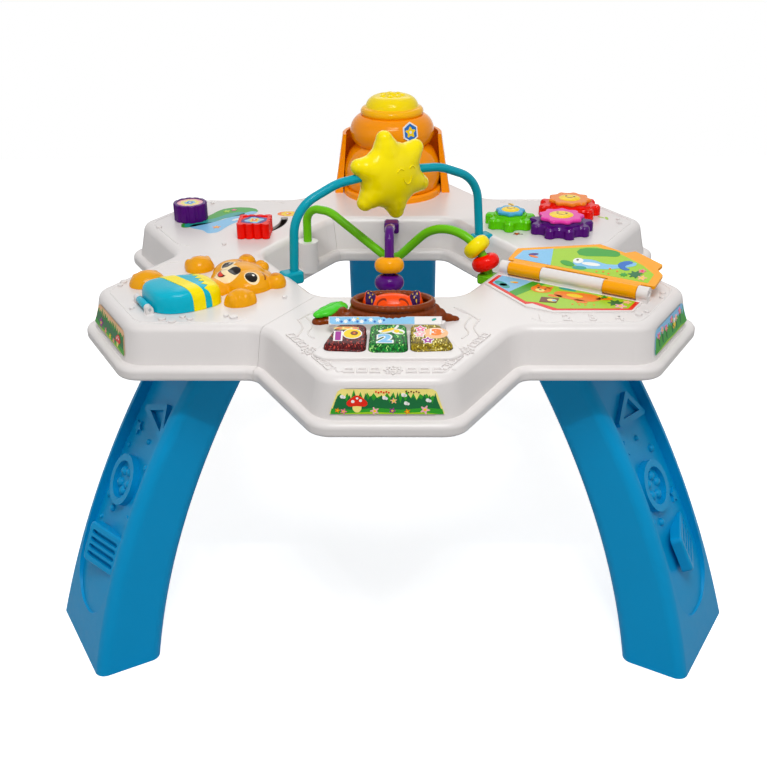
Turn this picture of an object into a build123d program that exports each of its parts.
from build123d import *
import os
from math import asin, atan2, cos, pi, radians, sin, sqrt, tan

os.makedirs("parts", exist_ok=True)

# ---------------------------------------------------------------- driving dimensions (mm)
TABLE_H = 360.0          # floor to the play surface
DECK_H = 48.0            # depth of the moulded deck
RIM_SIDE = 120.0         # side of each of the six hexagonal modules, at the rim
HUB_Y = -31.0            # the hub stands this far in front of the middle of the footprint
SKIN = 3.0               # moulded wall thickness
SEAM = 0.4               # gap between neighbouring deck sections
FIT = 0.3                # clearance between pieces that only drop into each other

MODULES = [30, 90, 150, 210, 270, 330]        # azimuth of each module, from the hub
SECTIONS = {"front": 300, "back": 60, "left": 180}    # azimuth of each two-module section
LEGS = {"front": 330, "back": 90, "left": 210}        # the leg under each section

RIM_Z = TABLE_H - DECK_H
APOTHEM = RIM_SIDE * sqrt(3) / 2
MODULE_R = 2 * APOTHEM   # hub to the middle of a module

FLANGE_H = 13.0          # rolled flange round the bottom of the deck
FLANGE_ROUND = 5.0
WALL_INSET = 7.0         # deck wall, set in from the flange
DRAFT = 12.0             # draft of the deck wall, degrees
TOP_ROUND = 8.0
RIM_CORNER = 25.0
WALL_CORNER = 30.0
NOTCH_ROUND = 14.0

TUBE_R = 4.5             # play tubes


def on_table(radius, azimuth, across=0.0, height=0.0):
    """A point at a distance from the hub along an azimuth, and across that direction."""
    turn = radians(azimuth)
    return (radius * cos(turn) - across * sin(turn),
            HUB_Y + radius * sin(turn) + across * cos(turn), height)


def spot_plane(azimuth, r, t, height=TABLE_H):
    """Level plane at a place on a module, r outwards from its middle and t across."""
    turn = radians(azimuth)
    return Plane(origin=on_table(MODULE_R + r, azimuth, t, height),
                 x_dir=(cos(turn), sin(turn), 0), z_dir=(0, 0, 1))


def module_plane(azimuth, height=TABLE_H):
    """Level plane on the middle of a module: x points away from the hub, y counter-clockwise."""
    return spot_plane(azimuth, 0, 0, height)


def upright_plane(azimuth, height=0.0):
    """Upright plane through the hub: x points away from the hub, y up."""
    turn = radians(azimuth)
    return Plane(origin=(0, HUB_Y, height), x_dir=(cos(turn), sin(turn), 0),
                 z_dir=(sin(turn), -cos(turn), 0))


def keep(piece, name):
    """Label a finished sub-part and write it."""
    piece.part.label = name
    export_step(piece.part, "parts/" + name + ".step")


def plan_distance(vertex):
    return sqrt(vertex.X ** 2 + (vertex.Y - HUB_Y) ** 2)


# ---------------------------------------------------------------- the deck's common shape
def deck_ring(height, inset, corner, notch):
    """The flower of six hexagons round a hexagonal hole, with every wall moved in by inset."""
    outline = []
    for azimuth in MODULES:
        outline.append(on_table((MODULE_R - inset) / cos(pi / 6), azimuth - 30))
        half_side = RIM_SIDE / 2 - inset / sqrt(3)
        outline.append(on_table(3 * APOTHEM - inset, azimuth, -half_side))
        outline.append(on_table(3 * APOTHEM - inset, azimuth, half_side))
    hole = [on_table((APOTHEM + inset) / cos(pi / 6), azimuth + 30) for azimuth in MODULES]
    with BuildSketch(Plane.XY.offset(height)) as ring:
        with BuildLine():
            Polyline(*outline, close=True)
        make_face()
        far = [v for v in ring.vertices() if plan_distance(v) > 2.3 * RIM_SIDE]
        fillet(far, corner)
        near = [v for v in ring.vertices() if plan_distance(v) < 2.05 * RIM_SIDE]
        fillet(near, notch)
        with BuildLine():
            Polyline(*hole, close=True)
        make_face(mode=Mode.SUBTRACT)
        inner = [v for v in ring.vertices() if plan_distance(v) < 1.4 * RIM_SIDE]
        fillet(inner, notch)
    return ring.sketch


def wedge(azimuth, gap, low=RIM_Z - 1, high=TABLE_H + 1):
    """The third of the table that one section fills, held back from both seams by gap."""
    tip = gap / sin(pi / 3)
    reach = 5 * RIM_SIDE
    with BuildPart() as third:
        with BuildSketch(Plane.XY.offset(low)):
            with BuildLine():
                Polyline(on_table(tip, azimuth), on_table(tip + reach / 2, azimuth, -reach * sin(pi / 3)),
                         on_table(tip + reach, azimuth), on_table(tip + reach / 2, azimuth, reach * sin(pi / 3)),
                         close=True)
            make_face()
        extrude(amount=high - low)
    return third.part


WALL_Z = RIM_Z + FLANGE_H - 3            # the wall starts inside the flange
with BuildPart() as deck_blank:
    extrude(deck_ring(RIM_Z, 0, RIM_CORNER, NOTCH_ROUND), amount=FLANGE_H)
    fillet(deck_blank.edges().group_by(Axis.Z)[-1], FLANGE_ROUND)
    fillet(deck_blank.edges().group_by(Axis.Z)[0], FLANGE_ROUND - 1)
    extrude(deck_ring(WALL_Z, WALL_INSET, WALL_CORNER, NOTCH_ROUND + 6), amount=TABLE_H - WALL_Z, taper=DRAFT)
    fillet(deck_blank.faces().sort_by(Axis.Z)[-1].edges(), TOP_ROUND)

# shallow pockets for the picture labels, in the outer wall of three modules
LABELLED = [210, 270, 330]
LABEL = [(-43.5, -12.2), (43.5, -12.2), (36.5, 11.8), (-36.5, 11.8)]
LABEL_Z, LABEL_DEPTH = 28.0, 0.7
label_r = 3 * APOTHEM - WALL_INSET - (LABEL_Z - (WALL_Z - RIM_Z)) * tan(radians(DRAFT))
with BuildPart() as label_pockets:
    for azimuth in LABELLED:
        turn, lean = radians(azimuth), radians(DRAFT)
        wall = Plane(origin=on_table(label_r, azimuth, 0, RIM_Z + LABEL_Z), x_dir=(-sin(turn), cos(turn), 0),
                     z_dir=(cos(lean) * cos(turn), cos(lean) * sin(turn), sin(lean)))
        with BuildSketch(wall) as pocket:
            with BuildLine():
                Polyline(*LABEL, close=True)
            make_face()
            fillet(pocket.vertices(), 6)
        extrude(amount=LABEL_DEPTH, both=True)

# the hollow under the deck, one wall thickness inside
CAVITY_TOP = TABLE_H - SKIN
CAVITY_INSET = WALL_INSET + SKIN - 2
with BuildPart() as deck_hollow:
    extrude(deck_ring(RIM_Z - 1, CAVITY_INSET, WALL_CORNER - SKIN, NOTCH_ROUND + 8),
            amount=CAVITY_TOP - RIM_Z + 1, taper=DRAFT)

# ---------------------------------------------------------------- fastenings between deck, covers and legs
COVER_T = 3.0
COVER_TOP = RIM_Z + COVER_T
SCREW_SPOTS = [(74, 34), (74, -34), (-72, 0)]      # on each module, from its middle
BOSS_R = 5.0
PILOT_R = 1.5
SHANK_R = 1.45
SCREW_HEAD_R = 3.4
TENON_R0, TENON_R1 = 178.0, 222.0       # leg tenon, along the radius from the hub
TENON_HALF_W = 42.0
TENON_H = 28.0
LUG_SCREWS = [-24, 24]                  # leg screws, across the leg
LUG_SCREW_R = 241.0
LUG_BOSS_H = 22.0
LUG_T = 7.0                             # flange on top of the leg that the screws go up through
TONGUE_RADII = [150, 212]               # tongues that hook one section into the next
TONGUE = (16, 16, 12)                   # along the seam, through it, high
TONGUE_Z = RIM_Z + 24


def section_modules(section):
    centre = SECTIONS[section]
    return [(centre - 30) % 360, (centre + 30) % 360]


def tongues(section, extra):
    """Tongues on a section's clockwise seam, or with extra the slots that take them."""
    seam = SECTIONS[section] - 60
    with BuildPart() as pair:
        for radius in TONGUE_RADII:
            with Locations(Location(on_table(radius, seam, 0, TONGUE_Z), (0, 0, seam))):
                Box(TONGUE[0] + 2 * extra, TONGUE[1] + 2 * extra, TONGUE[2] + 2 * extra)
    return pair.part


def section_shell(section):
    """One white deck section: a shell with seam walls, screw bosses, tongues and slots."""
    centre = SECTIONS[section]
    solid_third = deck_blank.part & wedge(centre, SEAM / 2)
    hollow_third = deck_hollow.part & wedge(centre, SEAM / 2 + SKIN, RIM_Z - 2)
    slots_for = {"front": "back", "back": "left", "left": "front"}[section]
    with BuildPart() as shell:
        add(solid_third)
        add(label_pockets.part, mode=Mode.SUBTRACT)
        add(hollow_third, mode=Mode.SUBTRACT)
        for azimuth in section_modules(section):
            spots = [on_table(MODULE_R + r, azimuth, t) for r, t in SCREW_SPOTS]
            with BuildSketch(Plane.XY.offset(COVER_TOP)):
                with Locations(*spots):
                    Circle(BOSS_R)
            extrude(amount=CAVITY_TOP - COVER_TOP + 1)
            with BuildSketch(Plane.XY.offset(COVER_TOP)):
                with Locations(*spots):
                    Circle(PILOT_R)
            extrude(amount=12, mode=Mode.SUBTRACT)
        add(tongues(section, 0))
        add(tongues(slots_for, FIT), mode=Mode.SUBTRACT)
    return shell.part


def tenon_place(azimuth):
    """Where a leg's tenon goes up into the table."""
    return Location(on_table((TENON_R0 + TENON_R1) / 2, azimuth, 0, RIM_Z), (0, 0, azimuth))


def bottom_cover(section):
    """The flat plate that closes a section from below, with the leg's socket walls on it."""
    outline = deck_ring(RIM_Z, CAVITY_INSET + 1.2 + FIT, WALL_CORNER - SKIN, NOTCH_ROUND + 8)
    azimuth = LEGS[section]
    length = TENON_R1 - TENON_R0
    with BuildPart() as cover:
        extrude(outline, amount=COVER_T)
        add(wedge(SECTIONS[section], SEAM / 2 + SKIN + FIT), mode=Mode.INTERSECT)
        with Locations(tenon_place(azimuth)):
            Box(length + 2 * FIT + 2 * SKIN, 2 * (TENON_HALF_W + FIT + SKIN), TENON_H,
                align=(Align.CENTER, Align.CENTER, Align.MIN))
            Box(length + 2 * FIT, 2 * (TENON_HALF_W + FIT), TENON_H,
                align=(Align.CENTER, Align.CENTER, Align.MIN), mode=Mode.SUBTRACT)
        lug_spots = [on_table(LUG_SCREW_R, azimuth, across) for across in LUG_SCREWS]
        with BuildSketch(Plane.XY.offset(RIM_Z)):
            with Locations(*lug_spots):
                Circle(BOSS_R)
        extrude(amount=LUG_BOSS_H)
        with BuildSketch(Plane.XY.offset(RIM_Z)):
            with Locations(*lug_spots):
                Circle(PILOT_R)
        extrude(amount=LUG_BOSS_H - 2, mode=Mode.SUBTRACT)
        for module in section_modules(section):
            spots = [on_table(MODULE_R + r, module, t, RIM_Z) for r, t in SCREW_SPOTS]
            with Locations(*[Location(spot, (180, 0, 0)) for spot in spots]):
                CounterBoreHole(radius=PILOT_R + 0.2, counter_bore_radius=SCREW_HEAD_R + 0.2,
                                counter_bore_depth=1.6, depth=COVER_T)
    return cover.part


def polygon_at(plane, points, amount, round_at=0.0):
    """A rounded polygon on a plane, extruded."""
    with BuildPart() as block:
        with BuildSketch(plane) as face:
            with BuildLine():
                Polyline(*points, close=True)
            make_face()
            if round_at:
                fillet(face.vertices(), round_at)
        extrude(amount=amount)
    return block.part


def mound(plane, outline, amount, edge, round_at=0.0):
    """A low moulded form: an outline raised from a plane, with its top edge rounded over."""
    with BuildPart() as form:
        with BuildSketch(plane) as face:
            if isinstance(outline, list):
                with BuildLine():
                    Polyline(*outline, close=True)
                make_face()
                if round_at:
                    fillet(face.vertices(), round_at)
            else:
                Ellipse(*outline)
        extrude(amount=amount)
        fillet(form.faces().sort_by(Axis.Z)[-1].edges(), edge)
    return form.part


# ---------------------------------------------------------------- legs
# side view, as distance from the hub and height: each face of a leg is one long arc
LEG_OUTER = [(229, RIM_Z), (320, 156), (374, 0)]
LEG_INNER = [(307, 0), (257, 156), (171, RIM_Z)]
LEG_HALF_WIDTH = [(53, RIM_Z), (55, 200), (58, 100), (67, 0)]
LEG_ROUND = 11.0
PANEL_TOP = RIM_Z - 14
PANEL_FLOOR = [(218, RIM_Z), (309.5, 156), (361, 40)]      # bottom of the recessed panel
PANEL_HALF = [(41, PANEL_TOP), (42, 220), (44, 140), (44, 96), (38, 62), (22, 46), (7, 41)]
DRUM_AT, DRUM_R = (-6, 171), 26.0        # across the leg, and height
LOUVRE_AT, LOUVRE_TURN = (8, 107), 18.0
LOUVRE = (54, 41)
LEDGE = [(17, 18), (39, -17), (-30, -4)]      # three-cornered ledge, from a height of LEDGE_Z
LEDGE_Z = 239.0
BUMPS = [(5, 214, 3), (-31, 146, 4), (-14, 139, 4), (24, 196, 4), (-32, 196, 2.5), (-37, 100, 3.6), (-33, 121, 2.6)]
RELIEF_STARS = [(-26, 216), (31, 145)]
STAR_POINTS = [((8, 3.6)[k % 2] * cos(k * pi / 5), (8, 3.6)[k % 2] * sin(k * pi / 5)) for k in range(10)]


def arc_centre(points):
    """Middle and radius of the circle through three points."""
    (x0, y0), (x1, y1), (x2, y2) = points
    d = 2 * (x0 * (y1 - y2) + x1 * (y2 - y0) + x2 * (y0 - y1))
    s0, s1, s2 = x0 ** 2 + y0 ** 2, x1 ** 2 + y1 ** 2, x2 ** 2 + y2 ** 2
    x = (s0 * (y1 - y2) + s1 * (y2 - y0) + s2 * (y0 - y1)) / d
    y = (s0 * (x2 - x1) + s1 * (x0 - x2) + s2 * (x1 - x0)) / d
    return x, y, sqrt((x - x0) ** 2 + (y - y0) ** 2)


def face_of_leg(azimuth, height, across=0.0):
    """Plane on the floor of the leg's panel: x across the leg, z out of the panel."""
    x, y, bend = arc_centre(PANEL_FLOOR)
    slope = asin((height - y) / bend)
    turn = radians(azimuth)
    return Plane(origin=on_table(x + bend * cos(slope), azimuth, across, height),
                 x_dir=(-sin(turn), cos(turn), 0),
                 z_dir=(cos(slope) * cos(turn), cos(slope) * sin(turn), sin(slope)))


def front_view(azimuth, outline, reach):
    """A front view of the leg, swept outwards from the hub."""
    turn = radians(azimuth)
    plane = Plane(origin=(0, HUB_Y, 0), x_dir=(-sin(turn), cos(turn), 0), z_dir=(cos(turn), sin(turn), 0))
    with BuildPart() as swept:
        with BuildSketch(plane):
            with BuildLine():
                Spline(*outline)
                Line(outline[-1], (-outline[-1][0], outline[-1][1]))
                Spline(*[(-x, z) for x, z in reversed(outline)])
                Line((-outline[0][0], outline[0][1]), outline[0])
            make_face()
        extrude(amount=reach)
    return swept.part


def leg(azimuth):
    """An arched leg: rounded box section, recessed panel with moulded play shapes, tenon on top."""
    with BuildPart() as side:
        with BuildSketch(upright_plane(azimuth)):
            with BuildLine():
                ThreePointArc(*LEG_OUTER)
                Line(LEG_OUTER[-1], LEG_INNER[0])
                ThreePointArc(*LEG_INNER)
                Line(LEG_INNER[-1], LEG_OUTER[0])
            make_face()
        extrude(amount=90, both=True)
    with BuildPart() as panel_side:
        with BuildSketch(upright_plane(azimuth)):
            with BuildLine():
                ThreePointArc(*PANEL_FLOOR)
                Polyline(PANEL_FLOOR[-1], (470, 20), (470, RIM_Z), PANEL_FLOOR[0])
            make_face()
        extrude(amount=90, both=True)
    body = side.part & front_view(azimuth, LEG_HALF_WIDTH, 400)
    panel = panel_side.part & front_view(azimuth, PANEL_HALF, 460)
    with BuildPart() as piece:
        add(body)
        long_edges = [e for e in piece.edges() if e.bounding_box().size.Z > 0.9 * RIM_Z]
        fillet(long_edges, LEG_ROUND)
        add(panel, mode=Mode.SUBTRACT)
        with Locations(tenon_place(azimuth)):
            Box(TENON_R1 - TENON_R0, 2 * TENON_HALF_W, TENON_H - 2, align=(Align.CENTER, Align.CENTER, Align.MIN))
        with Locations(Location(on_table(215, azimuth, 0, RIM_Z - LUG_T), (0, 0, azimuth))):
            Box(36, 72, LUG_T, align=(Align.MIN, Align.CENTER, Align.MIN))
        for across in LUG_SCREWS:
            with Locations(Location(on_table(LUG_SCREW_R, azimuth, across, RIM_Z - LUG_T), (180, 0, 0))):
                Hole(radius=PILOT_R + 0.2, depth=LUG_T)
        # round drum with five domes
        across, height = DRUM_AT
        drum = face_of_leg(azimuth, height, across)
        with BuildSketch(drum.offset(-1)):
            Circle(DRUM_R)
        extrude(amount=8)
        with BuildSketch(drum.offset(7)):
            Circle(DRUM_R - 7)
        extrude(amount=-5, mode=Mode.SUBTRACT)
        with Locations(drum.offset(1)):
            with PolarLocations(10.5, 5):
                Sphere(5)
        # louvred frame
        across, height = LOUVRE_AT
        frame = face_of_leg(azimuth, height, across).rotated((0, 0, LOUVRE_TURN))
        with BuildPart(mode=Mode.PRIVATE) as louvre:
            with BuildSketch(frame.offset(-2)):
                RectangleRounded(*LOUVRE, 5)
            extrude(amount=11)
            fillet(louvre.faces().sort_by(Axis(frame.origin, frame.z_dir))[-1].edges(), 2.5)
            with BuildSketch(frame.offset(9)):
                with GridLocations(0, 7.6, 1, 4):
                    SlotOverall(LOUVRE[0] - 12, 4.6)
            extrude(amount=-5, mode=Mode.SUBTRACT)
        add(louvre.part)
        # three-cornered ledge near the top
        with BuildSketch(face_of_leg(azimuth, LEDGE_Z).offset(-1)) as ledge:
            with BuildLine():
                Polyline(*LEDGE, close=True)
            make_face()
            fillet(ledge.vertices(), 3)
            offset(amount=-6, mode=Mode.SUBTRACT)
        extrude(amount=6)
        # small round bumps and stars
        for across, height, radius in BUMPS:
            with Locations(face_of_leg(azimuth, height, across)):
                Sphere(radius)
        for across, height in RELIEF_STARS:
            with BuildSketch(face_of_leg(azimuth, height, across).offset(-1)):
                with BuildLine():
                    Polyline(*STAR_POINTS, close=True)
                make_face()
            extrude(amount=3.5)
    return piece


# ---------------------------------------------------------------- front module: keys, stump, leaf
FRONT = 270
KEY_QUADS = {
    "key_one": [(7, -43.5), (7, -18.5), (47, -18.5), (44, -56)],
    "key_two": [(7, -15), (7, 16), (48, 17), (48, -16)],
    "key_three": [(7, 19.5), (7, 44.5), (44, 57), (47, 19.5)],
}
KEY_BACK_H, KEY_FALL = 12.0, 0.15       # height over the play surface at the back, and slope of the top
KEY_NOSE = (35.0, 53.0)                 # where the front starts to round over, and where that would reach the deck
KEY_TRAVEL = 3.0
TRAY_T = 3.5
TRAY = [(-2, -46), (-2, 47), (50, 64), (58, 55), (58, -54), (50, -63)]
KEY_GAP = 0.5
STUMP_AT = (-24, 4)
STUMP_H = 24.0
ROOT_H = 5.0
FOX_AT = (-22, 4)
LEAF_AT = (-33, -53)
LEAF_Z = 8.6                            # its underside, above the play surface
BOARD_Z = 322.0
BOARD_T = 1.6


def key_prism(quad, grow, low, high, corner):
    with BuildPart() as prism:
        with BuildSketch(module_plane(FRONT, low)) as face:
            with BuildLine():
                Polyline(*quad, close=True)
            make_face()
            if grow:
                offset(amount=grow, kind=Kind.INTERSECTION)
            fillet(face.vertices(), corner)
        extrude(amount=high - low)
    return prism.part


upright = upright_plane(FRONT)
key_side = Plane(origin=on_table(MODULE_R, FRONT, 0, TABLE_H), x_dir=upright.x_dir, z_dir=upright.z_dir)
with BuildPart() as key_form:
    with BuildSketch(key_side):
        with BuildLine():
            fall = KEY_FALL * (KEY_NOSE[0] - 7)
            Polyline((KEY_NOSE[1], 0), (KEY_NOSE[1], -10), (0, -10), (0, KEY_BACK_H + 7 * KEY_FALL),
                     (KEY_NOSE[0], KEY_BACK_H - fall))
            TangentArc((KEY_NOSE[0], KEY_BACK_H - fall), (KEY_NOSE[1], 0), tangent=(1, -KEY_FALL))
        make_face()
    extrude(amount=70, both=True)

front_cuts = []
front_cuts.append(polygon_at(module_plane(FRONT, CAVITY_TOP - 1),
                             [(3, -45), (3, 46), (50, 59), (50, -58)], SKIN + 3, 4))

for name, quad in KEY_QUADS.items():
    centre_t = (quad[0][1] + quad[1][1] + quad[2][1] + quad[3][1]) / 4
    with BuildPart() as key:
        add(key_prism(quad, 0, TABLE_H - 6, TABLE_H + 16, 6))
        add(key_form.part, mode=Mode.INTERSECT)
        crown = key.faces().filter_by(lambda f: f.normal_at().Z > 0.5)
        seam = [e for e in crown[0].edges() if len(crown) > 1 and e in crown[1].edges()]
        fillet([e for e in crown.edges() if e not in seam], 2.0)
        with BuildSketch(module_plane(FRONT, BOARD_Z + BOARD_T + 3 + KEY_TRAVEL + 1)):
            with Locations((28, centre_t)):
                Circle(5)
        extrude(amount=TABLE_H - 5 - (BOARD_Z + BOARD_T + 3 + KEY_TRAVEL + 1))
    keep(key, name)

with BuildPart() as stump_ring:
    ring_plane = module_plane(FRONT)
    with BuildSketch(ring_plane):
        with Locations(STUMP_AT):
            Ellipse(25, 44)
    with BuildSketch(ring_plane.offset(STUMP_H)):
        with Locations(STUMP_AT):
            Ellipse(21.5, 38)
    loft()
    add(polygon_at(ring_plane, [(-20, -66), (-14, -58), (-6, -30), (-30, -20), (-44, -40), (-40, -62)], ROOT_H, 3))
    add(polygon_at(ring_plane, [(-37, 56), (-30, 52), (-10, 30), (-30, 20), (-44, 36)], 8, 2))
    fillet(stump_ring.faces().sort_by(Axis.Z)[-1].edges(), 3)
    with BuildSketch(ring_plane.offset(-1)):
        with Locations(STUMP_AT):
            Ellipse(16.5, 31)
    extrude(amount=STUMP_H + 2, mode=Mode.SUBTRACT)
    with BuildSketch(ring_plane.offset(-1)):
        with Locations(LEAF_AT):
            Circle(4.5)
    extrude(amount=20, mode=Mode.SUBTRACT)
keep(stump_ring, "stump_ring")

with BuildPart() as key_tray:
    add(polygon_at(module_plane(FRONT), TRAY, TRAY_T, 6))
    fillet(key_tray.faces().sort_by(Axis.Z)[-1].edges(), 1.5)
    add(polygon_at(module_plane(FRONT), [(-7, -52), (-7, 52), (3, 46), (3, -45)], 9, 2))
    add(stump_ring.part, mode=Mode.SUBTRACT)
    for quad in KEY_QUADS.values():
        add(key_prism(quad, KEY_GAP, TABLE_H - 1, TABLE_H + 12, 6 + KEY_GAP), mode=Mode.SUBTRACT)
keep(key_tray, "key_tray")

BUTTON_STEM_Z = 341.0
with BuildPart() as fox_button:
    base = module_plane(FRONT, TABLE_H + 4)
    with BuildSketch(base):
        with Locations(FOX_AT):
            Ellipse(14.5, 28)
    extrude(amount=20)
    fillet(fox_button.faces().sort_by(Axis.Z)[-1].edges(), 7)
    for side in (-1, 1):
        with BuildSketch(module_plane(FRONT, TABLE_H + 6)):
            with Locations((FOX_AT[0] - 2, FOX_AT[1] + side * 19)):
                Ellipse(5, 7)
        with BuildSketch(module_plane(FRONT, TABLE_H + 29)):
            with Locations((FOX_AT[0] - 2, FOX_AT[1] + side * 22)):
                Ellipse(2.2, 3.2)
        loft()
    with BuildSketch(module_plane(FRONT, BUTTON_STEM_Z)):
        with Locations(FOX_AT):
            Circle(6)
    extrude(amount=TABLE_H + 6 - BUTTON_STEM_Z)
keep(fox_button, "fox_button")

leaf_shape = [(-51, -40), (-42, -41), (-30, -47), (-22, -58), (-20, -67), (-30, -66), (-40, -60), (-48, -51)]
with BuildPart() as leaf_button:
    add(polygon_at(module_plane(FRONT, TABLE_H + LEAF_Z), leaf_shape, 7, 3))
    fillet(leaf_button.faces().sort_by(Axis.Z)[-1].edges(), 3)
    with BuildSketch(module_plane(FRONT, BUTTON_STEM_Z)):
        with Locations(LEAF_AT):
            Circle(4)
    extrude(amount=TABLE_H + LEAF_Z + 1 - BUTTON_STEM_Z)
keep(leaf_button, "leaf_button")

with BuildPart() as stem_holes:
    with BuildSketch(module_plane(FRONT, CAVITY_TOP - 1)):
        with Locations(FOX_AT):
            Circle(6.5)
        with Locations(LEAF_AT):
            Circle(4.5)
    extrude(amount=SKIN + 3)
front_cuts.append(stem_holes.part)

# ---------------------------------------------------------------- works under the front module
with BuildPart() as circuit_board:
    with BuildSketch(module_plane(FRONT, BOARD_Z)):
        with Locations((28, 0)):
            Rectangle(50, 104)
    extrude(amount=BOARD_T)
keep(circuit_board, "circuit_board")

with BuildPart() as contact_pads:
    with BuildSketch(module_plane(FRONT, BOARD_Z + BOARD_T)):
        with Locations(*[(28, (q[0][1] + q[1][1] + q[2][1] + q[3][1]) / 4) for q in KEY_QUADS.values()]):
            Circle(6)
    extrude(amount=3, taper=20)
keep(contact_pads, "contact_pads")

BOX_AT = (-34, 0)
BOX_L, BOX_W, BOX_H = 56.0, 52.0, 19.0
BATTERY_R, BATTERY_L, BATTERY_PITCH = 7.2, 49.0, 15.2
battery_z = COVER_TOP + BATTERY_R + FIT
with BuildPart() as batteries:
    for place in (-1, 0, 1):
        for r, radius, length in [(-25, BATTERY_R, BATTERY_L), (24, 2.7, 1.2)]:
            with BuildSketch(Plane(origin=on_table(MODULE_R + BOX_AT[0] + r, FRONT, place * BATTERY_PITCH, battery_z),
                                   x_dir=(0, 0, 1), z_dir=module_plane(FRONT).x_dir)):
                Circle(radius)
            extrude(amount=length)
keep(batteries, "batteries")

SPEAKER_AT = (-57, -26)
with BuildPart() as speaker:
    with BuildSketch(module_plane(330, COVER_TOP)):
        with Locations(SPEAKER_AT):
            Circle(20)
    extrude(amount=4)
    with BuildSketch(module_plane(330, COVER_TOP + 4)):
        with Locations(SPEAKER_AT):
            Circle(16)
    extrude(amount=7, taper=25)
    with BuildSketch(module_plane(330, COVER_TOP + 10)):
        with Locations(SPEAKER_AT):
            Circle(9)
    extrude(amount=7)
keep(speaker, "speaker")

for section in SECTIONS:
    with BuildPart() as cover:
        add(bottom_cover(section))
        if section == "front":
            with Locations(Location(on_table(MODULE_R + BOX_AT[0], FRONT, BOX_AT[1], RIM_Z), (0, 0, FRONT))):
                Box(BOX_L + 2 * SKIN, BOX_W + 2 * SKIN, BOX_H + SKIN, align=(Align.CENTER, Align.CENTER, Align.MIN))
                Box(BOX_L, BOX_W, BOX_H, align=(Align.CENTER, Align.CENTER, Align.MIN), mode=Mode.SUBTRACT)
            with BuildSketch(module_plane(330, RIM_Z - 1)):
                with Locations(SPEAKER_AT):
                    with HexLocations(3, 3, 3):
                        Circle(1.5)
            extrude(amount=COVER_T + 2, mode=Mode.SUBTRACT)
    keep(cover, "bottom_cover_" + section)

with BuildPart() as battery_door:
    with Locations(Location(on_table(MODULE_R + BOX_AT[0], FRONT, BOX_AT[1], RIM_Z), (0, 0, FRONT))):
        Box(BOX_L - 2 * FIT, BOX_W - 2 * FIT, 2.5, align=(Align.CENTER, Align.CENTER, Align.MIN))
keep(battery_door, "battery_door")

# ---------------------------------------------------------------- front-left module: bear and blanket
BEAR = 210
BEAR_FORMS = [       # radius from the hub side, across, half sizes, height, edge rounding
    (-36, 7, (26, 34), 20, 12),
    (-57, -20, (10, 10), 13, 5),
    (-62, 32, (10, 10), 13, 5),
    (-16, -50, (15, 13), 14, 7),
    (-16, 57, (15, 12), 13, 7),
    (42, -34, (16, 13), 14, 7),
]


bear_blobs = [mound(spot_plane(BEAR, r, t), size, height, edge) for r, t, size, height, edge in BEAR_FORMS]
bear_blobs.append(polygon_at(module_plane(BEAR), [(50, 1), (50, 27), (10, 32), (-12, 28), (-14, 12), (12, 6)], 8, 6))
with BuildPart() as bear_figure:
    for blob in bear_blobs:
        add(blob)
keep(bear_figure, "bear_figure")

BLANKET = [(60, -4), (60, 8), (60, 34), (38, 48), (16, 47), (-5, 43), (-5, 5), (12, -4), (34, -9), (52, -10)]
BLANKET_INSIDE = [(56, -2), (56, 31), (37, 44), (16, 43), (-12, 39), (-12, 8), (12, 0), (34, -5), (52, -6)]
BLANKET_H = 20.0
BLANKET_LIFT = 0.4
BLANKET_HINGE_R, BLANKET_HINGE_Z = 63.5, TABLE_H + 4.4
HINGE_PIN_R = 1.5
HINGE_BARREL = (4, 26)
HINGE_LUGS = [(-4, 3.6), (26.4, 34)]


def hinge_bar(t0, t1, radius, azimuth=BEAR):
    """A round bar on the blanket's hinge line."""
    with BuildPart() as bar:
        with BuildSketch(Plane(origin=on_table(MODULE_R + BLANKET_HINGE_R, azimuth, t0, BLANKET_HINGE_Z),
                               x_dir=(0, 0, 1), z_dir=module_plane(azimuth).y_dir)):
            Circle(radius)
        extrude(amount=t1 - t0)
    return bar.part


blanket_top = mound(module_plane(BEAR, TABLE_H + BLANKET_LIFT), BLANKET, BLANKET_H, 7, 4)
blanket_space = polygon_at(module_plane(BEAR, TABLE_H - 1), BLANKET_INSIDE, BLANKET_H - 1.5, 3)
blanket_web = polygon_at(module_plane(BEAR, TABLE_H + 3), [(57, 4), (63.5, 4), (63.5, 26), (57, 26)], 3)
with BuildPart() as bear_blanket:
    add(blanket_top)
    add(blanket_space, mode=Mode.SUBTRACT)
    add(blanket_web)
    add(hinge_bar(*HINGE_BARREL, 3.6))
    add(hinge_bar(-10, 40, HINGE_PIN_R + 0.08), mode=Mode.SUBTRACT)
keep(bear_blanket, "bear_blanket")

with BuildPart() as blanket_pin:
    add(hinge_bar(HINGE_LUGS[0][0], HINGE_LUGS[1][1], HINGE_PIN_R))
keep(blanket_pin, "blanket_pin")

with BuildPart() as blanket_lugs:
    for t0, t1 in HINGE_LUGS:
        add(hinge_bar(t0, t1, 3.4))
        add(polygon_at(module_plane(BEAR, TABLE_H - 1), [(60.1, t0), (66.9, t0), (66.9, t1), (60.1, t1)], 5.4))
    add(hinge_bar(-10, 40, HINGE_PIN_R), mode=Mode.SUBTRACT)

# ---------------------------------------------------------------- back-left module: two knobs
KNOBS = 150
ROUND_KNOB_AT = (48.5, 14)
ROUND_KNOB_R, ROUND_KNOB_H = 19.0, 19.5
KNOB_LIFT = 0.5
SHAFT_R = 5.0
PIVOT_AT = (4.2, -5.0)
ARM_R = 59.0                       # the square knob swings at this radius round its pivot
ARM_ANGLE, ARM_SWING = 152.9, 64.5
SLOT_W = 8.0
STEM_R = 3.5
ARM_Z, ARM_T = 349.0, 4.0
PIVOT_R = 3.0

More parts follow.
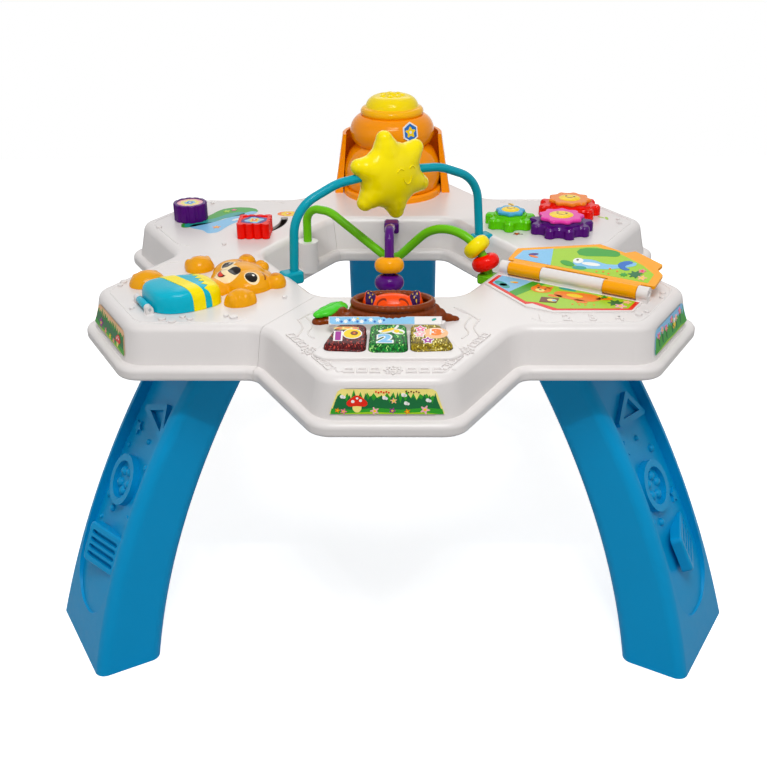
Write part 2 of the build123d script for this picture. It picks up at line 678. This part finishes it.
with BuildPart() as round_knob:
    spot = spot_plane(KNOBS, *ROUND_KNOB_AT, TABLE_H + KNOB_LIFT)
    with BuildSketch(spot):
        Circle(ROUND_KNOB_R)
        with PolarLocations(ROUND_KNOB_R + 1.2, 12):
            Circle(2.4, mode=Mode.SUBTRACT)
    extrude(amount=ROUND_KNOB_H)
    fillet(round_knob.faces().sort_by(Axis.Z)[-1].edges(), 1.2)
    with BuildSketch(spot.offset(ROUND_KNOB_H)):
        Circle(ROUND_KNOB_R - 4)
    extrude(amount=-1, mode=Mode.SUBTRACT)
    with BuildSketch(spot):
        Circle(SHAFT_R)
    extrude(amount=-14)
keep(round_knob, "round_knob")

with BuildPart() as round_knob_clip:
    with BuildSketch(spot_plane(KNOBS, *ROUND_KNOB_AT, CAVITY_TOP - 3)):
        Circle(SHAFT_R + 4)
        Circle(SHAFT_R, mode=Mode.SUBTRACT)
    extrude(amount=2)
keep(round_knob_clip, "round_knob_clip")

arm_turn = radians(ARM_ANGLE)
SQUARE_AT = (ARM_R * cos(arm_turn), ARM_R * sin(arm_turn))      # from the pivot
SQUARE_SIDE, SQUARE_H, SCALLOPS = 35.5, 16.5, 4
with BuildPart() as square_knob:
    spot = Plane(origin=on_table(MODULE_R + PIVOT_AT[0] + SQUARE_AT[0], KNOBS, PIVOT_AT[1] + SQUARE_AT[1],
                                 TABLE_H + KNOB_LIFT))
    scallop_r = SQUARE_SIDE / SCALLOPS / 2
    with BuildSketch(spot):
        Rectangle(SQUARE_SIDE - 2 * scallop_r, SQUARE_SIDE - 2 * scallop_r)
        with GridLocations(2 * scallop_r, 2 * scallop_r, SCALLOPS, SCALLOPS):
            Circle(scallop_r + 0.15)
    extrude(amount=SQUARE_H)
    with BuildSketch(spot.offset(SQUARE_H)):
        RectangleRounded(SQUARE_SIDE - 8, SQUARE_SIDE - 8, 4)
    extrude(amount=-1, mode=Mode.SUBTRACT)
    with BuildSketch(spot):
        Circle(STEM_R)
    extrude(amount=-(TABLE_H + KNOB_LIFT - ARM_Z))
keep(square_knob, "square_knob")

with BuildPart() as slider_arm:
    with BuildSketch(spot_plane(KNOBS, *PIVOT_AT, ARM_Z)):
        SlotCenterPoint((SQUARE_AT[0] / 2, SQUARE_AT[1] / 2), SQUARE_AT, 14)
        with Locations((0, 0)):
            Circle(PIVOT_R + 0.06, mode=Mode.SUBTRACT)
        with Locations(SQUARE_AT):
            Circle(STEM_R, mode=Mode.SUBTRACT)
    extrude(amount=ARM_T)
keep(slider_arm, "slider_arm")

with BuildPart() as slider_pivot:
    with BuildSketch(spot_plane(KNOBS, *PIVOT_AT, ARM_Z - 3)):
        Circle(6)
    extrude(amount=2.8)
    with BuildSketch(spot_plane(KNOBS, *PIVOT_AT, ARM_Z - 1)):
        Circle(PIVOT_R)
    extrude(amount=CAVITY_TOP - ARM_Z + 1)
keep(slider_pivot, "slider_pivot")

slot_line = CenterArc((0, 0), ARM_R, ARM_ANGLE, ARM_SWING + 0.6)
with BuildPart() as knob_cuts:
    with BuildSketch(spot_plane(KNOBS, *PIVOT_AT, CAVITY_TOP - 1)):
        SlotArc(slot_line, SLOT_W)
    extrude(amount=SKIN + 3)
    with BuildSketch(spot_plane(KNOBS, *ROUND_KNOB_AT, CAVITY_TOP - 1)):
        Circle(SHAFT_R + 0.08)
    extrude(amount=SKIN + 3)

# ---------------------------------------------------------------- back module: the hive
HIVE = 90
HIVE_R = 18.0                      # hive axis, outwards from the module's middle
TRAY_R, TRAY_H = 59.4, 8.0
# each ring of the drum: foot, belly and top, as radius and height over the play surface
DRUM_RINGS = [[(55, 8.6), (57.5, 33), (45, 57.5)], [(43, 59.5), (50, 78.5), (38, 94)]]
DRUM_HOLLOW = [(9.5, 7), (51.5, 7), (53, 33), (41, 51), (38, 60), (45.5, 77.5), (35, 90.5), (9.5, 90.5)]
CAP_FOOT = 94.0
CAP_SIDE = [[(36, 94), (37.4, 98.5), (33, 103)], [(31.5, 104), (27.5, 111.5), (18, 116)]]
SPINDLE_R = 6.0
HUB_OF_HIVE = on_table(MODULE_R + HIVE_R, HIVE, 0, TABLE_H)
hive_side = Plane(origin=HUB_OF_HIVE, x_dir=upright_plane(HIVE).x_dir, z_dir=upright_plane(HIVE).z_dir)
hive_axis = Axis(HUB_OF_HIVE, (0, 0, 1))

with BuildPart() as hive_tray:
    spot = spot_plane(HIVE, HIVE_R, 0)
    with BuildSketch(spot):
        Circle(TRAY_R)
    extrude(amount=TRAY_H)
    fillet(hive_tray.faces().sort_by(Axis.Z)[-1].edges(), 3)
    with BuildSketch(spot):
        Circle(SPINDLE_R)
    extrude(amount=TRAY_H, mode=Mode.SUBTRACT)
keep(hive_tray, "hive_tray")

with BuildPart() as hive_spindle:
    spot = spot_plane(HIVE, HIVE_R, 0, TABLE_H)
    with BuildSketch(spot):
        Circle(SPINDLE_R)
    extrude(amount=70)
keep(hive_spindle, "hive_spindle")

with BuildPart() as hive_drum:
    with BuildSketch(hive_side):
        with BuildLine():
            bottom, top = DRUM_RINGS[0][0][1], DRUM_RINGS[-1][-1][1]
            here = (SPINDLE_R + 0.1, bottom)
            for ring in DRUM_RINGS:
                Line(here, ring[0])
                ThreePointArc(*ring)
                here = ring[-1]
            Polyline(here, (SPINDLE_R + 0.1, top), (SPINDLE_R + 0.1, bottom))
        make_face()
    revolve(axis=hive_axis)
    with BuildSketch(hive_side):
        with BuildLine():
            Polyline(*DRUM_HOLLOW, close=True)
        make_face()
    revolve(axis=hive_axis, mode=Mode.SUBTRACT)
keep(hive_drum, "hive_drum")

with BuildPart() as hive_cap:
    with BuildSketch(hive_side):
        with BuildLine():
            here = (0, CAP_FOOT)
            for ring in CAP_SIDE:
                Line(here, ring[0])
                ThreePointArc(*ring)
                here = ring[-1]
            Polyline(here, (0, here[1]), (0, CAP_FOOT))
        make_face()
    revolve(axis=hive_axis)
    with Locations(Plane(origin=HUB_OF_HIVE).offset(CAP_SIDE[-1][-1][1] - 4)):
        Sphere(7.5)
        with PolarLocations(11.5, 7):
            Sphere(6)
keep(hive_cap, "hive_cap")

SHROUD_H = 72.0
SHROUD_FOOT, SHROUD_TOP = (62, 70.5), (58, 59.5)
SHROUD_INSIDE_FOOT, SHROUD_INSIDE_TOP = (60, 61), (56.8, 55.5)
with BuildPart() as hive_shroud:
    spot = spot_plane(HIVE, HIVE_R, 0)
    with BuildSketch(spot):
        Ellipse(*SHROUD_FOOT)
    with BuildSketch(spot.offset(SHROUD_H)):
        Ellipse(*SHROUD_TOP)
    loft()
    with BuildSketch(spot.offset(-0.001)):
        Ellipse(*SHROUD_INSIDE_FOOT)
    with BuildSketch(spot.offset(SHROUD_H + 0.001)):
        Ellipse(*SHROUD_INSIDE_TOP)
    loft(mode=Mode.SUBTRACT)
    with BuildSketch(spot_plane(HIVE, HIVE_R - 50, 0)):
        Rectangle(80, 160)
    extrude(amount=SHROUD_H + 1, mode=Mode.SUBTRACT)
keep(hive_shroud, "hive_shroud")

# ---------------------------------------------------------------- back-right module: three flower gears
GEARS = 30
LOBE_PITCH = 22.48                 # along the pitch circle, from lobe to lobe
GEAR_LOBES = {"gear_green": 7, "gear_purple": 9, "gear_red": 9}
LOBE_SLACK = 0.35
GEAR_H, GEAR_LIFT = 11.0, 0.5
GEAR_EDGE = 2.5                    # height of the bevel round its top
AXLE_R = 4.0
rolling = LOBE_PITCH / (4 * pi)    # circle that rolls once over a lobe and once under a gap


def pitch_radius(name):
    return GEAR_LOBES[name] * LOBE_PITCH / (2 * pi)


PURPLE_AT = (-11.0, -31.5)
GREEN_DIR, RED_DIR = atan2(9 + 35, -50 + 13), atan2(10 + 35, 33 + 13)
GREEN_AT = (PURPLE_AT[0] + (pitch_radius("gear_green") + pitch_radius("gear_purple")) * cos(GREEN_DIR),
            PURPLE_AT[1] + (pitch_radius("gear_green") + pitch_radius("gear_purple")) * sin(GREEN_DIR))
RED_AT = (PURPLE_AT[0] + 2 * pitch_radius("gear_purple") * cos(RED_DIR),
          PURPLE_AT[1] + 2 * pitch_radius("gear_purple") * sin(RED_DIR))
GEAR_AT = {"gear_green": GREEN_AT, "gear_purple": PURPLE_AT, "gear_red": RED_AT}
# a lobe of the purple gear points along GREEN_DIR; each neighbour has a gap facing the lobe it takes
PURPLE_PHASE = GREEN_DIR
GREEN_PHASE = GREEN_DIR + pi + pi / GEAR_LOBES["gear_green"]
lobe_at_red = (RED_DIR - PURPLE_PHASE) * GEAR_LOBES["gear_purple"] / (2 * pi)
RED_PHASE = RED_DIR + pi + (0.5 + lobe_at_red) * 2 * pi / GEAR_LOBES["gear_red"]
GEAR_PHASE = {"gear_green": GREEN_PHASE, "gear_purple": PURPLE_PHASE, "gear_red": RED_PHASE}


def lobe_points(name, steps=6):
    """Gear outline: epicycloid lobes and hypocycloid gaps, drawn LOBE_SLACK inside the true mesh."""
    radius, count = pitch_radius(name), GEAR_LOBES[name]
    waves = []
    for k in range(count):
        for side in (1, -1):
            start = GEAR_PHASE[name] + 2 * pi * (k - side * 0.25) / count
            wave = []
            for i in range(steps + 1):
                along = i / steps * pi / count
                rolled = radius / rolling * along
                big = radius + side * rolling
                x = big * cos(along) - side * rolling * cos(along + side * rolled)
                y = big * sin(along) - side * rolling * sin(along + side * rolled)
                outward = along + side * (rolled / 2 - pi / 2)
                x -= LOBE_SLACK * cos(outward)
                y -= LOBE_SLACK * sin(outward)
                wave.append((x * cos(start) - y * sin(start), x * sin(start) + y * cos(start)))
            waves.append(wave)
    return waves


for name, (r, t) in GEAR_AT.items():
    spot = spot_plane(GEARS, r, t, TABLE_H + GEAR_LIFT)
    cap_r = 0.66 * pitch_radius(name)
    with BuildPart() as gear:
        with BuildSketch(spot):
            with BuildLine():
                for wave in lobe_points(name):
                    Spline(*wave)
            make_face()
        extrude(amount=GEAR_H - GEAR_EDGE)
        extrude(gear.faces().sort_by(Axis.Z)[-1], amount=GEAR_EDGE, taper=35)
        with BuildSketch(spot.offset(GEAR_H - 0.5)):
            Circle(cap_r + 2.5)
        extrude(amount=3, taper=20)
        with BuildSketch(spot):
            Circle(AXLE_R + 0.08)
        extrude(amount=GEAR_H + 6, mode=Mode.SUBTRACT)
        with BuildSketch(spot.offset(GEAR_H)):
            Circle(AXLE_R + 3.5)
        extrude(amount=6, mode=Mode.SUBTRACT)
    keep(gear, name)
    with BuildPart() as cap:
        with BuildSketch(spot.offset(GEAR_H + 2.5)):
            Circle(cap_r - 2)
            with PolarLocations(cap_r - 3, 8):
                Circle(4.5)
        extrude(amount=3.6)
        fillet(cap.faces().sort_by(Axis.Z)[-1].edges(), 1.2)
    keep(cap, name.replace("gear_", "flower_"))

with BuildPart() as gear_axles:
    for r, t in GEAR_AT.values():
        spot = spot_plane(GEARS, r, t, CAVITY_TOP - 5)
        with BuildSketch(spot):
            Circle(AXLE_R)
        extrude(amount=TABLE_H + GEAR_LIFT + GEAR_H + 0.3 - CAVITY_TOP + 5)
        with BuildSketch(spot_plane(GEARS, r, t, TABLE_H + GEAR_LIFT + GEAR_H + 0.3)):
            Circle(AXLE_R + 2.5)
        extrude(amount=2)
keep(gear_axles, "gear_axles")

with BuildPart() as axle_holes:
    for r, t in GEAR_AT.values():
        with BuildSketch(spot_plane(GEARS, r, t, CAVITY_TOP - 1)):
            Circle(AXLE_R)
        extrude(amount=SKIN + 3)

# ---------------------------------------------------------------- front-right module: the book
BOOK = 330
SPINE_R = 6.5
SPINE_Z = TABLE_H + 8.5
PAGE_REST = 11.0                   # the open page leans this far up from level, degrees
PIN_R = 2.5
BOOK_SHEET_T = 1.6
SLEEVES = [(-71, -37.5), (26.5, 59)]
MIDDLE = (-37, 26)
POSTS = [(-80, -71.5), (59.5, 70)]
BOOK_SHEET = [(-82, 2), (-82, -33), (-24, -67), (4, -67), (66, -30), (66, 2)]
PAGE = [(-78, 9.5), (-78, 33), (-4, 68), (25, 60), (33, 66), (66, 50), (64, 40), (72, 32), (72, 9.5)]


def spine_bar(r0, r1, radius):
    """A round bar along the spine of the book."""
    with BuildPart() as bar:
        with BuildSketch(Plane(origin=on_table(MODULE_R + r0, BOOK, 0, SPINE_Z),
                               x_dir=(0, 0, 1), z_dir=module_plane(BOOK).x_dir)):
            Circle(radius)
        extrude(amount=r1 - r0)
    return bar.part


spine_blocks = []
for r0, r1 in [*POSTS, MIDDLE]:
    spine_blocks.append(spine_bar(r0, r1, SPINE_R))
    spine_blocks.append(polygon_at(module_plane(BOOK), [(r0, -5), (r1, -5), (r1, 5), (r0, 5)], SPINE_Z - TABLE_H))
with BuildPart() as book_base:
    add(polygon_at(module_plane(BOOK), BOOK_SHEET, BOOK_SHEET_T, 2))
    for block in spine_blocks:
        add(block)
    add(spine_bar(-90, 90, PIN_R), mode=Mode.SUBTRACT)
keep(book_base, "book_base")

with BuildPart() as book_pin:
    add(spine_bar(POSTS[0][0] + 1, POSTS[1][1] - 1, PIN_R))
keep(book_pin, "book_pin")

rest = radians(PAGE_REST)
spine_plane = module_plane(BOOK, SPINE_Z)
page_y = spine_plane.y_dir * cos(rest) + Vector(0, 0, 1) * sin(rest)
page_plane = Plane(origin=spine_plane.origin, x_dir=spine_plane.x_dir, z_dir=spine_plane.x_dir.cross(page_y))
with BuildPart() as book_page:
    add(polygon_at(page_plane, PAGE, 3, 2))
    for r0, r1 in SLEEVES:
        add(polygon_at(page_plane, [(r0, 0), (r1, 0), (r1, 12), (r0, 12)], 3))
        add(spine_bar(r0, r1, SPINE_R))
    add(spine_bar(-90, 90, PIN_R + 0.08), mode=Mode.SUBTRACT)
keep(book_page, "book_page")

# ---------------------------------------------------------------- play tubes, star and beads
FOOT_ROUND = 3.0


def tube_foot(azimuth, height=43.0, depth=22.0, width=16.0, tall=13.0, radius=114.0):
    """The flared foot by which a tube is let into the edge of the deck."""
    with BuildPart() as foot:
        with Locations(Location(on_table(radius, azimuth, 0, RIM_Z + height), (0, 0, azimuth))):
            Box(depth, width, tall)
        fillet(foot.edges(), FOOT_ROUND)
    return foot.part


ARCH_AZ, WAVE_AZ, LOW_AZ = 30, 330, 90
arch_plane = upright_plane(ARCH_AZ, RIM_Z)
ARCH = [(-111, 44), (-108, 112), (-60, 131), (0, 135.5), (60, 131), (106, 112), (111, 44)]
ARCH_RADII = [38, 60, 200, 60, 38]
arch_feet = [tube_foot(ARCH_AZ), tube_foot(ARCH_AZ + 180)]
with BuildPart() as arch_tube:
    with BuildLine(arch_plane) as arch_line:
        FilletPolyline(*ARCH, radius=ARCH_RADII)
    with BuildSketch(Plane(origin=arch_line.line @ 0, z_dir=arch_line.line % 0)):
        Circle(TUBE_R)
    sweep()
    for foot in arch_feet:
        add(foot)
keep(arch_tube, "arch_tube")

wave_plane = upright_plane(WAVE_AZ, RIM_Z)
CREST = (68.0, 38.5)               # middle of the round crest that the beads travel over
CREST_R, CREST_FROM, CREST_TURN = 46.0, 135.0, 120.0
crest_start = (CREST[0] + CREST_R * cos(radians(CREST_FROM)), CREST[1] + CREST_R * sin(radians(CREST_FROM)))
crest_end_angle = radians(CREST_FROM - CREST_TURN)
crest_end = (CREST[0] + CREST_R * cos(crest_end_angle), CREST[1] + CREST_R * sin(crest_end_angle))
WAVE = [(-105, 30), (-105, 81), (-75, 81), (2.5, 38), crest_start]
WAVE_RADII = [16, 30, 22]
with BuildPart() as wave_tube:
    with BuildLine(wave_plane) as wave_line:
        FilletPolyline(*WAVE, radius=WAVE_RADII)
        CenterArc(CREST, CREST_R, CREST_FROM, -CREST_TURN)
        Line(crest_end, (crest_end[0] + 7 * sin(crest_end_angle), crest_end[1] - 7 * cos(crest_end_angle)))
    with BuildSketch(Plane(origin=wave_line.line @ 0, z_dir=wave_line.line % 0)):
        Circle(TUBE_R)
    sweep()
    add(tube_foot(WAVE_AZ, 41, 20, 16, 11))
keep(wave_tube, "wave_tube")

low_plane = upright_plane(LOW_AZ, RIM_Z)
LOW_RISE = (13.0, 40.0)            # middle of the long bend that rises from the front foot
LOW_R, LOW_TO = 120.0, 154.0       # its radius, and the angle at which it ends
LOW_TIGHT, LOW_DROP = 14.0, 72.0   # radius of the tight bend on top, and the angle at which the tube drops away
LOW_TAIL = 8.0
low_start = (LOW_RISE[0] - LOW_R, LOW_RISE[1] - LOW_TAIL)
rise_end = radians(LOW_TO)
low_top = (LOW_RISE[0] + (LOW_R - LOW_TIGHT) * cos(rise_end), LOW_RISE[1] + (LOW_R - LOW_TIGHT) * sin(rise_end))
drop = radians(LOW_DROP)
low_over = (low_top[0] + LOW_TIGHT * cos(drop), low_top[1] + LOW_TIGHT * sin(drop))
LOW_BACK_R = 109.0
low_back = (LOW_BACK_R, low_over[1] - (LOW_BACK_R - low_over[0]) / tan(drop))
low_feet = [tube_foot(LOW_AZ + 180, 38, 20, 16, 11), tube_foot(LOW_AZ, low_back[1], 20, 17, 13)]
with BuildPart() as low_tube:
    with BuildLine(low_plane) as low_line:
        Line(low_start, (LOW_RISE[0] - LOW_R, LOW_RISE[1]))
        CenterArc(LOW_RISE, LOW_R, 180, LOW_TO - 180)
        CenterArc(low_top, LOW_TIGHT, LOW_TO, LOW_DROP - LOW_TO)
        Line(low_over, low_back)
    with BuildSketch(Plane(origin=low_line.line @ 0, z_dir=low_line.line % 0)):
        Circle(TUBE_R)
    sweep()
    for foot in low_feet:
        add(foot)
keep(low_tube, "low_tube")

BEAD_R, BEAD_T, BEAD_BORE = 14.0, 15.0, 5.6
BEADS = {        # plane, middle of the bend, its radius, and where the bead rests on it, degrees
    "bead_red": (wave_plane, CREST, CREST_R, 24.0),
    "bead_yellow": (wave_plane, CREST, CREST_R, 46.5),
    "bead_purple": (low_plane, LOW_RISE, LOW_R, 172.3),
    "bead_orange": (low_plane, LOW_RISE, LOW_R, 164.4),
}
for name, (plane, centre, bend, angle) in BEADS.items():
    turn = radians(angle)
    middle = plane.from_local_coords((centre[0] + bend * cos(turn), centre[1] + bend * sin(turn), 0))
    ahead = plane.from_local_coords((centre[0] + bend * cos(turn) - sin(turn),
                                     centre[1] + bend * sin(turn) + cos(turn), 0)) - middle
    with BuildPart() as bead:
        with BuildSketch(Plane(origin=middle - ahead * (BEAD_T / 2), z_dir=ahead)):
            Circle(BEAD_R)
        extrude(amount=BEAD_T)
        fillet(bead.edges(), BEAD_T / 2 - 0.4)
        with BuildSketch(Plane(origin=middle - ahead * BEAD_T, z_dir=ahead)):
            Circle(BEAD_BORE)
        extrude(amount=2 * BEAD_T, mode=Mode.SUBTRACT)
    keep(bead, name)

STAR_TIP, STAR_VALLEY, STAR_HALF_T = 57.0, 30.0, 17.0
STAR_FIRST_ARM = 103.0
star_points = []
for k in range(6):
    for radius, half_step in ((STAR_TIP, 0), (STAR_VALLEY, 30)):
        angle = radians(STAR_FIRST_ARM + 60 * k + half_step)
        star_points.append((radius * cos(angle), radius * sin(angle)))
STAR_Z = 131.0
for name, side in (("star_front", 1), ("star_back", -1)):
    star_plane = upright_plane(ARCH_AZ, RIM_Z)
    star_plane = Plane(origin=(0, HUB_Y, RIM_Z + STAR_Z), x_dir=star_plane.x_dir, z_dir=star_plane.z_dir)
    with BuildPart() as star:
        with BuildSketch(star_plane) as star_face:
            with BuildLine():
                Polyline(*star_points, close=True)
            make_face()
            tips = [v for v in star_face.vertices() if v.X ** 2 + v.Y ** 2 > 40 ** 2]
            fillet(tips, 10)
            valleys = [v for v in star_face.vertices() if v.X ** 2 + v.Y ** 2 < 31 ** 2]
            fillet(valleys, 10)
        extrude(amount=side * STAR_HALF_T, taper=14)
        far_face = star.faces().sort_by(Axis(star_plane.origin, star_plane.z_dir))[-1 if side > 0 else 0]
        fillet(far_face.edges(), 5)
        add(arch_tube.part, mode=Mode.SUBTRACT)
    keep(star, name)

# ---------------------------------------------------------------- legs, sections and the last fastenings
for section, azimuth in LEGS.items():
    keep(leg(azimuth), "leg_" + section)

WAVE_BOSS_R = 11.0
section_cuts = {"front": front_cuts, "back": [axle_holes.part], "left": [knob_cuts.part]}
for section in SECTIONS:
    with BuildPart() as deck_section:
        add(section_shell(section))
        if section == "left":
            with Locations(on_table(-105, WAVE_AZ, 0, RIM_Z + FLANGE_H - 4)):
                Cylinder(WAVE_BOSS_R, 34, align=(Align.CENTER, Align.CENTER, Align.MIN))
            add(blanket_lugs.part)
        if section == "back":
            with BuildSketch(spot_plane(HIVE, HIVE_R, 0, CAVITY_TOP - 6)):
                Circle(12)
            extrude(amount=7)
        for cut in section_cuts[section]:
            add(cut, mode=Mode.SUBTRACT)
        for piece in (arch_tube, wave_tube, low_tube):
            add(piece.part, mode=Mode.SUBTRACT)
    keep(deck_section, "deck_" + section)

with BuildPart() as cover_screws:
    for azimuth in MODULES:
        for r, t in SCREW_SPOTS:
            x, y, _ = on_table(MODULE_R + r, azimuth, t)
            with Locations((x, y, RIM_Z + 0.1)):
                Cylinder(SCREW_HEAD_R, 1.5, align=(Align.CENTER, Align.CENTER, Align.MIN))
                Cylinder(SHANK_R, 13, align=(Align.CENTER, Align.CENTER, Align.MIN))
keep(cover_screws, "cover_screws")

with BuildPart() as leg_screws:
    for azimuth in LEGS.values():
        for across in LUG_SCREWS:
            x, y, _ = on_table(LUG_SCREW_R, azimuth, across)
            with Locations((x, y, RIM_Z - LUG_T - 2.5)):
                Cylinder(4.5, 2.5, align=(Align.CENTER, Align.CENTER, Align.MIN))
                Cylinder(SHANK_R, 28, align=(Align.CENTER, Align.CENTER, Align.MIN))
keep(leg_screws, "leg_screws")
